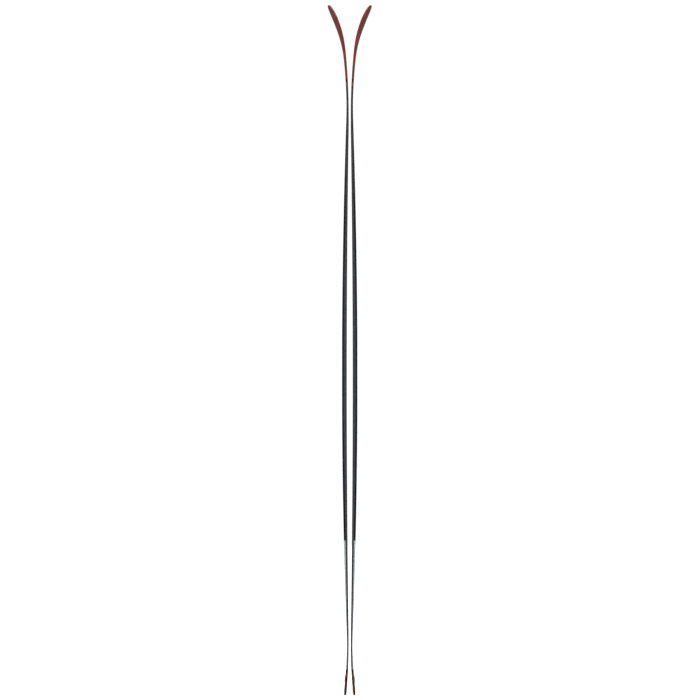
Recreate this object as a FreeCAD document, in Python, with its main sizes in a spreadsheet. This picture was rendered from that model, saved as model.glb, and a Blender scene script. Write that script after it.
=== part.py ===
"""A pair of alpine skis, flat (no bindings), standing base to base on their tails.

Frame: +Z runs along the skis from tail to tip, X is the thickness direction and Y
the width. The plane X = 0 lies midway between the two running bases, and the skis
stand on Z = 0. The right ski (X > 0) is designed here piece by piece, and the left
ski is its mirror image. Lengths are in millimetres.
"""
import FreeCAD, Part
import math
import os
import re
import Sketcher

Vector = FreeCAD.Vector
doc = FreeCAD.newDocument("AlpineSkis")

# ------------------------------------------------------------ driving dimensions
SIZES = {
    # plan shape
    "ski_length": 1760,
    "tip_width": 134,
    "waist_width": 98,
    "tail_width": 120,
    "nose_radius": 60,
    "tail_corner_radius": 35,
    "tail_flank_radius": 300,
    "tip_widest_from_tip": 200,
    "waist_from_tail": 790,
    "tail_widest_from_tail": 95,
    # side view: camber and rocker, along the running base
    "base_gap": 5.2,
    "camber_height": 5.1,
    "tail_contact_from_tail": 126,
    "tip_contact_from_tip": 288,
    "tail_rocker_radius": 1120,
    "tip_rocker_radius": 1605,
    "shovel_from_tip": 125,
    "shovel_radius": 299,
    # side view: thickness
    "waist_thickness": 11.75,
    "tip_thickness": 4.5,
    "tail_thickness": 4.8,
    "binding_centre_from_tail": 812,
    "platform_length": 190,
    "taper_end_from_tip": 149,
    "taper_blend_tightening": 283,
    # laminate, from the running base upwards
    "bond_line": 0.05,
    "base_thickness": 1.2,
    "edge_height": 1.6,
    "edge_width": 2.0,
    "flange_width": 4.5,
    "edge_end_from_tip": 120,
    "lower_glass_thickness": 0.4,
    "rubber_thickness": 0.3,
    "titanal_thickness": 0.4,
    "upper_glass_thickness": 0.4,
    "topsheet_thickness": 0.7,
    "topsheet_inset": 1.5,
    "layer_inset": 0.3,
    "sidewall_width": 7.0,
    "stringer_width": 13.0,
    "tip_spacer_length": 218,
    "tail_spacer_end": 75,
    # fittings
    "reinforcement_length": 520,
    "reinforcement_width": 64,
    "reinforcement_thickness": 1.0,
    "protector_height": 16,
    "clip_plate_from_tail": 28,
    "clip_plate_height": 15,
    "clip_plate_width": 26,
    "clip_plate_thickness": 1.6,
    "rivet_diameter": 3.2,
    "rivet_spacing": 15,
    "rivet_head_diameter": 5.0,
    "rivet_head_height": 0.6,
    # half size of the blocks that the layers are cut from
    "stock_reach": 300,
}

sizes = doc.addObject("Spreadsheet::Sheet", "sizes")
for row, (alias, value) in enumerate(SIZES.items(), start=1):
    sizes.set(f"A{row}", alias.replace("_", " "))
    sizes.set(f"B{row}", str(value))
    sizes.setAlias(f"B{row}", alias)
doc.recompute()


def size(alias):
    """The number that a cell of the sheet holds."""
    return float(sizes.get(alias))


def formula(text):
    """An expression written with bare aliases, as FreeCAD wants it."""
    return re.sub(r"\b([a-z_]{4,})\b", r"sizes.\1", text)


# ------------------------------------------------------------ sketches
SIDE_VIEW = FreeCAD.Rotation(Vector(1, 0, 0), Vector(0, 0, 1), Vector(0, -1, 0), "XYZ")
PLAN_VIEW = FreeCAD.Rotation(Vector(0, 1, 0), Vector(0, 0, 1), Vector(1, 0, 0), "XYZ")
START, END, CENTRE = 1, 2, 3
ORIGIN = (-1, 1)
X_AXIS, Y_AXIS = -1, -2


def add_sketch(name, rotation):
    sketch = doc.addObject("Sketcher::SketchObject", name)
    sketch.Placement = FreeCAD.Placement(Vector(), rotation)
    return sketch


def polar(centre, radius, angle):
    return Vector(centre.x + radius * math.cos(angle), centre.y + radius * math.sin(angle), 0)


def add_arc(sketch, centre, first, last):
    """An arc drawn anticlockwise from first to last, two points on it."""
    circle = Part.Circle(centre, Vector(0, 0, 1), (first - centre).Length)
    arc = Part.ArcOfCircle(circle, circle.parameter(first), circle.parameter(last))
    return sketch.addGeometry(arc)


def add_line(sketch, first, last):
    return sketch.addGeometry(Part.LineSegment(first, last))


def bind(sketch, kind, places, expression):
    """Adds a dimension at its drawn value, then binds it to the sheet."""
    points = [sketch.getPoint(*places[i:i + 2]) for i in range(0, len(places) - 1, 2)]
    if kind == "Radius":
        drawn = sketch.Geometry[places[0]].Radius
    elif kind == "DistanceX":
        drawn = points[1].x - points[0].x
    else:
        drawn = points[1].y - points[0].y
    index = sketch.addConstraint(Sketcher.Constraint(kind, *places, drawn))
    sketch.setExpression(f"Constraints[{index}]", formula(expression))
    return index


def relate(sketch, kind, *places):
    sketch.addConstraint(Sketcher.Constraint(kind, *places))


def bind_centre(sketch, arc, x_expression, y_expression):
    bind(sketch, "DistanceX", (*ORIGIN, arc, CENTRE), x_expression)
    bind(sketch, "DistanceY", (*ORIGIN, arc, CENTRE), y_expression)


def circle_x(centre, radius, height, side):
    """Where a circle crosses a height, on its right (side 1) or left (side -1)."""
    return centre.x + side * math.sqrt(radius ** 2 - (height - centre.y) ** 2)


def close_region(sketch, first, last, reach):
    """Joins the ends of a profile, tail to tip, round the outside at the given reach."""
    tail, tip = sketch.getPoint(*first), sketch.getPoint(*last)
    sign = math.copysign(1, reach)
    far_tip, far_tail = Vector(reach, tip.y, 0), Vector(reach, 0, 0)
    top = add_line(sketch, tip, far_tip)
    side = add_line(sketch, far_tip, far_tail)
    bottom = add_line(sketch, far_tail, tail)
    relate(sketch, "Coincident", *last, top, START)
    relate(sketch, "Coincident", top, END, side, START)
    relate(sketch, "Coincident", side, END, bottom, START)
    relate(sketch, "Coincident", bottom, END, *first)
    relate(sketch, "Horizontal", top)
    relate(sketch, "Vertical", side)
    relate(sketch, "Horizontal", bottom)
    if sign > 0:
        bind(sketch, "DistanceX", (*ORIGIN, side, START), "stock_reach")
    else:
        bind(sketch, "DistanceX", (side, START, *ORIGIN), "stock_reach")


half_gap = size("base_gap") / 2
length = size("ski_length")
tail_contact = size("tail_contact_from_tail")
tip_contact = length - size("tip_contact_from_tip")
shovel_start = length - size("shovel_from_tip")
tail_radius = size("tail_rocker_radius")
tip_radius = size("tip_rocker_radius")
shovel_radius = size("shovel_radius")


def rocker_centres(lift):
    """Centres of the tail and tip rocker arcs of a line that lies lift above the base."""
    tail = Vector(half_gap + lift[0] + tail_radius, tail_contact, 0)
    tip = Vector(half_gap + lift[1] + tip_radius, tip_contact, 0)
    return tail, tip


def add_shovel(sketch, tip_centre, first):
    """The rocker arc from first up to the shovel, and the shovel arc up to the tip."""
    turn = Vector(circle_x(tip_centre, tip_radius, shovel_start, -1), shovel_start, 0)
    shovel_centre = turn + (tip_centre - turn) * (shovel_radius / tip_radius)
    tip = Vector(circle_x(shovel_centre, shovel_radius, length, -1), length, 0)
    rocker = add_arc(sketch, tip_centre, turn, first)
    shovel = add_arc(sketch, shovel_centre, tip, turn)
    relate(sketch, "Tangent", shovel, END, rocker, START)
    bind(sketch, "Radius", (rocker,), "tip_rocker_radius")
    bind(sketch, "Radius", (shovel,), "shovel_radius")
    bind(sketch, "DistanceY", (*ORIGIN, rocker, START), "ski_length - shovel_from_tip")
    bind(sketch, "DistanceY", (*ORIGIN, shovel, START), "ski_length")
    return rocker, shovel


# ------------------------------------------------------------ running base, side view
# Four tangent arcs: tail rocker, camber, tip rocker and shovel. The two rocker arcs
# touch the contact plane at half the gap between the skis.
base_line = add_sketch("BaseLine", SIDE_VIEW)
tail_centre, tip_centre = rocker_centres((0, 0))
camber = size("camber_height")
contact_length = tip_contact - tail_contact
apex_from_contact = contact_length / 2 + camber * (tail_radius - tip_radius) / contact_length
camber_radius = (apex_from_contact ** 2 + camber ** 2) / (2 * camber) - tail_radius
camber_centre = Vector(half_gap + camber - camber_radius, tail_contact + apex_from_contact, 0)
tail_turn = camber_centre + (tail_centre - camber_centre).normalize() * camber_radius
tip_turn = camber_centre + (tip_centre - camber_centre).normalize() * camber_radius
tail_end = Vector(circle_x(tail_centre, tail_radius, 0, -1), 0, 0)

tail_arc = add_arc(base_line, tail_centre, tail_turn, tail_end)
camber_arc = add_arc(base_line, camber_centre, tail_turn, tip_turn)
rocker_arc, shovel_arc = add_shovel(base_line, tip_centre, tip_turn)
relate(base_line, "Tangent", tail_arc, START, camber_arc, START)
relate(base_line, "Tangent", camber_arc, END, rocker_arc, END)
relate(base_line, "PointOnObject", tail_arc, END, X_AXIS)
bind(base_line, "Radius", (tail_arc,), "tail_rocker_radius")
bind_centre(base_line, tail_arc, "base_gap / 2 + tail_rocker_radius", "tail_contact_from_tail")
bind_centre(base_line, rocker_arc, "base_gap / 2 + tip_rocker_radius", "ski_length - tip_contact_from_tip")
apex = base_line.addGeometry(Part.Point(polar(camber_centre, camber_radius, 0)), True)
relate(base_line, "PointOnObject", apex, START, camber_arc)
relate(base_line, "Horizontal", apex, START, camber_arc, CENTRE)
bind(base_line, "DistanceX", (*ORIGIN, apex, START), "base_gap / 2 + camber_height")
close_region(base_line, (tail_arc, END), (shovel_arc, START), size("stock_reach"))

# ------------------------------------------------------------ top surface, side view
# The tail and the shovel run parallel to the base. Between them a crown arc thickens
# the ski towards the binding, where a flat platform is left for the mounting screws.
top_line = add_sketch("TopLine", SIDE_VIEW)
tail_centre, tip_centre = rocker_centres((size("tail_thickness"), size("tip_thickness")))
platform_x = half_gap + camber + size("waist_thickness")
binding_centre = size("binding_centre_from_tail")
half_platform = size("platform_length") / 2
platform_tail = Vector(platform_x, binding_centre - half_platform, 0)
platform_tip = Vector(platform_x, binding_centre + half_platform, 0)

rise = platform_x - (tail_centre.x - tail_radius)
run = binding_centre - tail_contact
rear_radius = (run ** 2 + rise ** 2) / (2 * rise) - tail_radius
rear_centre = Vector(platform_x - rear_radius, binding_centre, 0)
rear_turn = rear_centre + (tail_centre - rear_centre).normalize() * rear_radius
tail_end = Vector(circle_x(tail_centre, tail_radius, 0, -1), 0, 0)

taper_end = length - size("taper_end_from_tip")
blend_radius = tip_radius - size("taper_blend_tightening")
blend_turn = Vector(circle_x(tip_centre, tip_radius, taper_end, -1), taper_end, 0)
blend_centre = blend_turn + (tip_centre - blend_turn) * (blend_radius / tip_radius)
run = blend_centre.y - binding_centre
rise = blend_centre.x - platform_x
crown_radius = (rise ** 2 + run ** 2 - blend_radius ** 2) / (2 * (blend_radius - rise))
crown_centre = Vector(platform_x - crown_radius, binding_centre, 0)
crown_end = crown_centre + (blend_centre - crown_centre).normalize() * crown_radius

tail_arc = add_arc(top_line, tail_centre, rear_turn, tail_end)
rear_arc = add_arc(top_line, rear_centre, rear_turn, platform_tail)
platform = add_line(top_line, platform_tail, platform_tip)
crown_arc = add_arc(top_line, crown_centre, platform_tip, crown_end)
blend_arc = add_arc(top_line, blend_centre, blend_turn, crown_end)
rocker_arc, shovel_arc = add_shovel(top_line, tip_centre, blend_turn)
relate(top_line, "Tangent", tail_arc, START, rear_arc, START)
relate(top_line, "Coincident", rear_arc, END, platform, START)
relate(top_line, "Coincident", platform, END, crown_arc, START)
relate(top_line, "Tangent", crown_arc, END, blend_arc, END)
relate(top_line, "Tangent", blend_arc, START, rocker_arc, END)
relate(top_line, "PointOnObject", tail_arc, END, X_AXIS)
relate(top_line, "Vertical", platform)
bind(top_line, "Radius", (tail_arc,), "tail_rocker_radius")
bind_centre(top_line, tail_arc, "base_gap / 2 + tail_thickness + tail_rocker_radius",
            "tail_contact_from_tail")
bind_centre(top_line, rocker_arc, "base_gap / 2 + tip_thickness + tip_rocker_radius",
            "ski_length - tip_contact_from_tip")
bind(top_line, "DistanceX", (*ORIGIN, platform, START), "base_gap / 2 + camber_height + waist_thickness")
bind(top_line, "DistanceY", (*ORIGIN, platform, START), "binding_centre_from_tail - platform_length / 2")
bind(top_line, "DistanceY", (*ORIGIN, platform, END), "binding_centre_from_tail + platform_length / 2")
bind(top_line, "DistanceY", (*ORIGIN, rear_arc, CENTRE), "binding_centre_from_tail")
bind(top_line, "DistanceY", (*ORIGIN, crown_arc, CENTRE), "binding_centre_from_tail")
bind(top_line, "Radius", (blend_arc,), "tip_rocker_radius - taper_blend_tightening")
bind(top_line, "DistanceY", (*ORIGIN, rocker_arc, END), "ski_length - taper_end_from_tip")
close_region(top_line, (tail_arc, END), (shovel_arc, START), -size("stock_reach"))

# ------------------------------------------------------------ outline, plan view
# Round nose, straight-cut tail with round corners, and sidecut arcs that meet at the
# waist. Each half is the mirror of the other, so the left half repeats the right one.
outline = add_sketch("Outline", PLAN_VIEW)
nose_radius = size("nose_radius")
corner_radius = size("tail_corner_radius")
rear_flank_radius = size("tail_flank_radius")
waist = size("waist_from_tail")
tip_widest = length - size("tip_widest_from_tip")
tail_widest = size("tail_widest_from_tail")
half_tip, half_waist, half_tail = (size(name) / 2 for name in ("tip_width", "waist_width", "tail_width"))


def sidecut(flank_centre, flank_radius):
    """The arc that leaves the waist parallel to the ski and touches a flank arc."""
    reach = abs(flank_centre.y - waist)
    spread = half_waist - flank_centre.x
    radius = (flank_radius ** 2 - reach ** 2 - spread ** 2) / (2 * (spread - flank_radius))
    centre = Vector(half_waist + radius, waist, 0)
    return centre, centre + (flank_centre - centre).normalize() * radius


nose_centre = Vector(0, length - nose_radius, 0)
nose_run = nose_centre.y - tip_widest
flank_radius = (half_tip ** 2 + nose_run ** 2 - nose_radius ** 2) / (2 * (half_tip - nose_radius))
flank_centre = Vector(half_tip - flank_radius, tip_widest, 0)
nose_turn = flank_centre + (nose_centre - flank_centre).normalize() * flank_radius
front_centre, front_turn = sidecut(flank_centre, flank_radius)
rear_flank_centre = Vector(half_tail - rear_flank_radius, tail_widest, 0)
rear_centre, rear_turn = sidecut(rear_flank_centre, rear_flank_radius)
inner = rear_flank_radius - corner_radius
corner_x = rear_flank_centre.x + math.sqrt(inner ** 2 - (tail_widest - corner_radius) ** 2)
corner_centre = Vector(corner_x, corner_radius, 0)
corner_turn = rear_flank_centre + (corner_centre - rear_flank_centre).normalize() * rear_flank_radius
corner_end = Vector(corner_x, 0, 0)
waist_point = Vector(half_waist, waist, 0)


def mirrored(point):
    return Vector(-point.x, point.y, 0)


def add_side(sign):
    """One side of the outline, from the corner at the tail to the nose arc's centre line."""
    chain = [
        (corner_centre, corner_end, corner_turn),
        (rear_flank_centre, corner_turn, rear_turn),
        (rear_centre, waist_point, rear_turn),
        (front_centre, front_turn, waist_point),
        (flank_centre, front_turn, nose_turn),
    ]
    arcs = []
    for centre, first, last in chain:
        if sign > 0:
            arcs.append(add_arc(outline, centre, first, last))
        else:
            arcs.append(add_arc(outline, mirrored(centre), mirrored(last), mirrored(first)))
    return arcs


right = add_side(1)
left = add_side(-1)
nose = add_arc(outline, nose_centre, nose_turn, mirrored(nose_turn))
tail = add_line(outline, mirrored(corner_end), corner_end)


def tie_side(arcs, first, last, nose_point, tail_point, sign):
    """Tangencies and dimensions of one side; first and last name its arcs' ends."""
    corner, rear_flank, rear_cut, front_cut, flank = arcs
    relate(outline, "Tangent", tail, tail_point, corner, first)
    relate(outline, "Tangent", corner, last, rear_flank, first)
    relate(outline, "Tangent", rear_flank, last, rear_cut, last)
    relate(outline, "Coincident", rear_cut, first, front_cut, last)
    relate(outline, "Tangent", front_cut, first, flank, first)
    relate(outline, "Tangent", flank, last, nose, nose_point)
    bind(outline, "Radius", (corner,), "tail_corner_radius")
    bind(outline, "Radius", (rear_flank,), "tail_flank_radius")
    for arc, height in ((rear_flank, "tail_widest_from_tail"), (rear_cut, "waist_from_tail"),
                        (front_cut, "waist_from_tail"), (flank, "ski_length - tip_widest_from_tip")):
        bind(outline, "DistanceY", (*ORIGIN, arc, CENTRE), height)
    bind(outline, "DistanceY", (*ORIGIN, rear_cut, first), "waist_from_tail")
    marks = ((rear_flank, half_tail, tail_widest, "tail_width / 2"),
             (flank, half_tip, tip_widest, "tip_width / 2"))
    for arc, half_width, height, expression in marks:
        mark = outline.addGeometry(Part.Point(Vector(sign * half_width, height, 0)), True)
        relate(outline, "PointOnObject", mark, START, arc)
        relate(outline, "Horizontal", mark, START, arc, CENTRE)
        span = (*ORIGIN, mark, START) if sign > 0 else (mark, START, *ORIGIN)
        bind(outline, "DistanceX", span, expression)
    span = (*ORIGIN, rear_cut, first) if sign > 0 else (rear_cut, first, *ORIGIN)
    bind(outline, "DistanceX", span, "waist_width / 2")


relate(outline, "PointOnObject", tail, START, X_AXIS)
relate(outline, "PointOnObject", nose, CENTRE, Y_AXIS)
bind(outline, "Radius", (nose,), "nose_radius")
bind(outline, "DistanceY", (*ORIGIN, nose, CENTRE), "ski_length - nose_radius")
tie_side(right, START, END, START, END, 1)
tie_side(left, END, START, END, START, -1)

# ------------------------------------------------------------ stock solids


def extrude(name, base, direction, expression):
    """A solid of a closed sketch, symmetric about the sketch's plane."""
    solid = doc.addObject("Part::Extrusion", name)
    solid.Base = base
    solid.DirMode = "Custom"
    solid.Dir = direction
    solid.Solid = True
    solid.Symmetric = True
    solid.setExpression("LengthFwd", formula(expression))
    return solid


def combine(kind, name, *pieces):
    """A Part::MultiCommon or Part::MultiFuse of several solids."""
    result = doc.addObject(kind, name)
    result.Shapes = list(pieces)
    return result


def common(name, *pieces):
    return combine("Part::MultiCommon", name, *pieces)


def fuse(name, *pieces):
    return combine("Part::MultiFuse", name, *pieces)


def cut(name, base, tool):
    result = doc.addObject("Part::Cut", name)
    result.Base = base
    result.Tool = tool
    return result


def shifted(name, sketch, expression):
    """The stock on one side of a side-view line, moved along X by an expression."""
    stock = extrude(name, sketch, Vector(0, 1, 0), "stock_reach")
    stock.setExpression("Placement.Base.x", formula(expression))
    return stock


def above_base(name, expression):
    return shifted(name, base_line, expression)


def below_top(name, expression):
    return shifted(name, top_line, f"-({expression})")


def prism(name, inset):
    """The outline, moved inwards by an inset, as a block through the whole thickness."""
    if inset is None:
        return extrude(name, outline, Vector(1, 0, 0), "2 * stock_reach")
    edge = doc.addObject("Part::Offset2D", f"{name}Line")
    edge.Source = outline
    edge.setExpression("Value", formula(f"-({inset})"))
    return extrude(name, edge, Vector(1, 0, 0), "2 * stock_reach")


def box(name, x_range, y_range, z_range):
    """A box between pairs of expressions along X, Y and Z."""
    block = doc.addObject("Part::Box", name)
    for (low, high), length_name, axis in zip((x_range, y_range, z_range), ("Length", "Width", "Height"), "xyz"):
        block.setExpression(length_name, formula(f"({high}) - ({low})"))
        block.setExpression(f"Placement.Base.{axis}", formula(low))
    return block


WHOLE = ("-stock_reach", "stock_reach")


def span(name, low, high):
    """All the stock between two heights."""
    return box(name, WHOLE, WHOLE, (low, high))


PROTECTOR_TOP = "protector_height"
BODY_LOW = "protector_height + bond_line"
TIP_END = "ski_length"
CORE_LOW = "tail_spacer_end"
CORE_HIGH = "ski_length - tip_spacer_length"
EDGE_HIGH = "ski_length - edge_end_from_tip"

# heights above the base and depths below the top, layer by layer
BACKING_LOW = "base_thickness + bond_line"
GLASS_LOW = "edge_height + bond_line"
GLASS_HIGH = f"{GLASS_LOW} + lower_glass_thickness"
RUBBER_LOW = f"{GLASS_HIGH} + bond_line"
RUBBER_HIGH = f"{RUBBER_LOW} + rubber_thickness"
TITANAL_LOW = f"{RUBBER_HIGH} + bond_line"
TITANAL_HIGH = f"{TITANAL_LOW} + titanal_thickness"
CORE_FLOOR = f"{TITANAL_HIGH} + bond_line"
UPPER_GLASS_TOP = "topsheet_thickness + bond_line"
UPPER_GLASS_FLOOR = f"{UPPER_GLASS_TOP} + upper_glass_thickness"
UPPER_TITANAL_TOP = f"{UPPER_GLASS_FLOOR} + bond_line"
UPPER_TITANAL_FLOOR = f"{UPPER_TITANAL_TOP} + titanal_thickness"
CORE_TOP = f"{UPPER_TITANAL_FLOOR} + bond_line"

full_prism = prism("FullPrism", None)
edge_prism = prism("EdgePrism", "edge_width")
base_prism = prism("BasePrism", "edge_width + bond_line")
flange_prism = prism("FlangePrism", "edge_width + flange_width")
backing_prism = prism("BackingPrism", "edge_width + flange_width + bond_line")
layer_prism = prism("LayerPrism", "layer_inset")
sidewall_prism = prism("SidewallPrism", "sidewall_width")
core_prism = prism("CorePrism", "sidewall_width + bond_line")
topsheet_prism = prism("TopsheetPrism", "topsheet_inset")

core_span = span("CoreSpan", CORE_LOW, CORE_HIGH)
body_span = span("BodySpan", BODY_LOW, TIP_END)
near_side = box("NearSide", WHOLE, ("-stock_reach", "0"), ("0", TIP_END))
far_side = box("FarSide", WHOLE, ("0", "stock_reach"), ("0", TIP_END))

nodes = {}


def keep(node, solid):
    """Names the finished piece of the right ski."""
    solid.Label = f"right_{node}"
    nodes[node] = solid


def sheet_layer(node, low, high, plan, stretch):
    """A sheet between two heights above the base."""
    floor = above_base(f"{node}_floor", low)
    ceiling = above_base(f"{node}_ceiling", high)
    slab = cut(f"{node}_slab", floor, ceiling)
    return common(f"{node}_sheet", slab, plan, stretch)


def cover_layer(node, top, floor, plan, stretch):
    """A sheet between two depths below the top surface."""
    upper = below_top(f"{node}_upper", top)
    lower = below_top(f"{node}_lower", floor)
    slab = cut(f"{node}_slab", upper, lower)
    return common(f"{node}_sheet", slab, plan, stretch)


# ------------------------------------------------------------ steel edges
# Each edge is a square bar at the rim with a thin flange that lies on the base sheet.
edge_span = span("EdgeSpan", BODY_LOW, EDGE_HIGH)
bar_ring = cut("BarRing", full_prism, edge_prism)
flange_ring = cut("FlangeRing", edge_prism, flange_prism)
edge_bar = sheet_layer("edge_bar", "0", "edge_height", bar_ring, edge_span)
edge_flange = sheet_layer("edge_flange", BACKING_LOW, "edge_height", flange_ring, edge_span)
edge_pair = fuse("EdgePair", edge_bar, edge_flange)
keep("inside_edge", common("InsideEdge", edge_pair, near_side))
keep("outside_edge", common("OutsideEdge", edge_pair, far_side))

# ------------------------------------------------------------ running base and its backing
# The base sheet lies between the edges, and covers the whole width beyond their ends.
base_sheet = sheet_layer("base", "0", "base_thickness", full_prism, body_span)
channel_ring = cut("ChannelRing", full_prism, base_prism)
channel_span = span("ChannelSpan", "0", f"{EDGE_HIGH} + bond_line")
edge_channel = common("EdgeChannel", channel_ring, channel_span)
keep("running_base", cut("RunningBase", base_sheet, edge_channel))
backing = sheet_layer("backing", BACKING_LOW, "edge_height", layer_prism, body_span)
flange_channel_ring = cut("FlangeChannelRing", full_prism, backing_prism)
flange_channel = common("FlangeChannel", flange_channel_ring, channel_span)
keep("base_backing", cut("BaseBacking", backing, flange_channel))

# ------------------------------------------------------------ laminate layers
keep("lower_glass", sheet_layer("lower_glass", GLASS_LOW, GLASS_HIGH, layer_prism, body_span))
keep("damping_rubber", sheet_layer("damping_rubber", RUBBER_LOW, RUBBER_HIGH, layer_prism, core_span))
keep("lower_titanal", sheet_layer("lower_titanal", TITANAL_LOW, TITANAL_HIGH, layer_prism, core_span))
keep("upper_titanal",
     cover_layer("upper_titanal", UPPER_TITANAL_TOP, UPPER_TITANAL_FLOOR, layer_prism, core_span))
keep("upper_glass", cover_layer("upper_glass", UPPER_GLASS_TOP, UPPER_GLASS_FLOOR, layer_prism, body_span))
keep("topsheet", cover_layer("topsheet", "0", "topsheet_thickness", topsheet_prism, body_span))

# ------------------------------------------------------------ core, sidewalls and spacers
core_slab = common("CoreSlab", above_base("CoreFloor", CORE_FLOOR), below_top("CoreTop", CORE_TOP), core_span)
plate_slab = cut("PlateSlab", below_top("PlateTop", CORE_TOP),
                 below_top("PlateFloor", f"{CORE_TOP} + reinforcement_thickness"))
plate_box = box("PlateBox", WHOLE, ("-reinforcement_width / 2", "reinforcement_width / 2"),
                ("binding_centre_from_tail - reinforcement_length / 2",
                 "binding_centre_from_tail + reinforcement_length / 2"))
keep("binding_reinforcement", common("BindingReinforcement", plate_slab, plate_box))
wood_core = cut("WoodCore", common("CoreBlank", core_slab, core_prism), nodes["binding_reinforcement"])

SIDE_STRINGERS = 3
stringers = {"ash": [], "poplar": []}
for place in range(-SIDE_STRINGERS, SIDE_STRINGERS + 1):
    low = f"({place} - 1 / 2) * stringer_width"
    high = f"({place} + 1 / 2) * stringer_width"
    if place == -SIDE_STRINGERS:
        low = "-stock_reach"
    if place == SIDE_STRINGERS:
        high = "stock_reach"
    wood = "ash" if place % 2 else "poplar"
    strip = box(f"{wood.title()}Strip{place + SIDE_STRINGERS}", WHOLE, (low, high), ("0", TIP_END))
    stringers[wood].append(strip)
for wood, strips in stringers.items():
    bundle = doc.addObject("Part::Compound", f"{wood.title()}Bundle")
    bundle.Links = strips
    keep(f"{wood}_stringers", common(f"{wood.title()}Stringers", wood_core, bundle))

sidewall_ring = cut("SidewallRing", full_prism, sidewall_prism)
sidewall_pair = common("SidewallPair", core_slab, sidewall_ring)
keep("inside_sidewall", common("InsideSidewall", sidewall_pair, near_side))
keep("outside_sidewall", common("OutsideSidewall", sidewall_pair, far_side))

spacer_slab = common("SpacerSlab", above_base("SpacerFloor", RUBBER_LOW),
                     below_top("SpacerTop", UPPER_TITANAL_TOP), full_prism)
tip_span = span("TipSpan", f"{CORE_HIGH} + bond_line", TIP_END)
tail_span = span("TailSpan", BODY_LOW, f"{CORE_LOW} - bond_line")
keep("tip_spacer", common("TipSpacer", spacer_slab, tip_span))

# ------------------------------------------------------------ tail fittings
# A moulded protector caps the end of the tail, and a small riveted plate above it
# takes the clip of a climbing skin.
protector_span = span("ProtectorSpan", "0", PROTECTOR_TOP)
keep("tail_protector", common("TailProtector", above_base("ProtectorFloor", "0"),
                              below_top("ProtectorTop", "0"), full_prism, protector_span))

clip_box = box("ClipBox", WHOLE, ("-clip_plate_width / 2", "clip_plate_width / 2"),
               ("clip_plate_from_tail", "clip_plate_from_tail + clip_plate_height"))
clip_blank = common("ClipBlank", cut("ClipSlab", below_top("ClipTop", "-clip_plate_thickness - bond_line"),
                                     below_top("ClipFloor", "-bond_line")), clip_box)


def rivet_part(name, diameter, depth_low, depth_high):
    """The two rivets of the clip plate, as pins along X between two depths."""
    pins = []
    for number, side in enumerate((-1, 1)):
        pin = doc.addObject("Part::Cylinder", f"{name}{number}")
        pin.setExpression("Radius", formula(f"{diameter} / 2"))
        pin.setExpression("Height", formula("stock_reach"))
        pin.Placement.Rotation = FreeCAD.Rotation(Vector(0, 1, 0), 90)
        pin.setExpression("Placement.Base.y", formula(f"{side} * rivet_spacing / 2"))
        pin.setExpression("Placement.Base.z", formula("clip_plate_from_tail + clip_plate_height / 2"))
        pins.append(pin)
    bundle = doc.addObject("Part::Compound", f"{name}Pins")
    bundle.Links = pins
    slab = common(f"{name}Slab", below_top(f"{name}Upper", depth_low), above_base(f"{name}Lower", depth_high))
    return common(name, bundle, slab)


HEAD_TOP = "-(clip_plate_thickness + 2 * bond_line + rivet_head_height)"
HEAD_FLOOR = "-(clip_plate_thickness + 2 * bond_line)"
rivet_shanks = rivet_part("RivetShank", "rivet_diameter", HEAD_TOP, RUBBER_LOW)
head_bundle = rivet_part("RivetHead", "rivet_head_diameter", HEAD_TOP, RUBBER_LOW)
rivet_heads = cut("RivetHeads", head_bundle, below_top("HeadFloor", HEAD_FLOOR))
keep("clip_rivets", fuse("ClipRivets", rivet_shanks, rivet_heads))

rivet_holes = rivet_part("RivetHole", "(rivet_diameter + 2 * bond_line)", HEAD_TOP, RUBBER_LOW)
keep("tail_clip_plate", cut("TailClipPlate", clip_blank, rivet_holes))
keep("tail_spacer", cut("TailSpacer", common("TailSpacerBlank", spacer_slab, tail_span), rivet_holes))
for node in ("upper_glass", "topsheet"):
    keep(node, cut(f"{node}_drilled", nodes[node], rivet_holes))

# ------------------------------------------------------------ left ski
pieces = {f"right_{node}": solid for node, solid in nodes.items()}
for node, solid in nodes.items():
    twin = doc.addObject("Part::Mirroring", f"left_{node}")
    twin.Label = f"left_{node}"
    twin.Source = solid
    twin.Normal = Vector(1, 0, 0)
    pieces[f"left_{node}"] = twin

doc.recompute()

# ------------------------------------------------------------ check and export
for thing in doc.Objects:
    if {"Invalid", "Error"} & set(thing.State):
        raise RuntimeError(f"{thing.Label} failed: {thing.State}")
for label, piece in pieces.items():
    if piece.Shape.isNull() or not piece.Shape.isValid() or not piece.Shape.Solids:
        raise RuntimeError(f"{label} has no valid solid")

os.makedirs("parts", exist_ok=True)
for label, piece in sorted(pieces.items()):
    piece.Shape.exportStep(f"parts/{label}.step")
    print(f"{label:32s} {len(piece.Shape.Solids):3d} solids {piece.Shape.Volume / 1000:9.2f} cm3")
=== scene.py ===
import math

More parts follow.
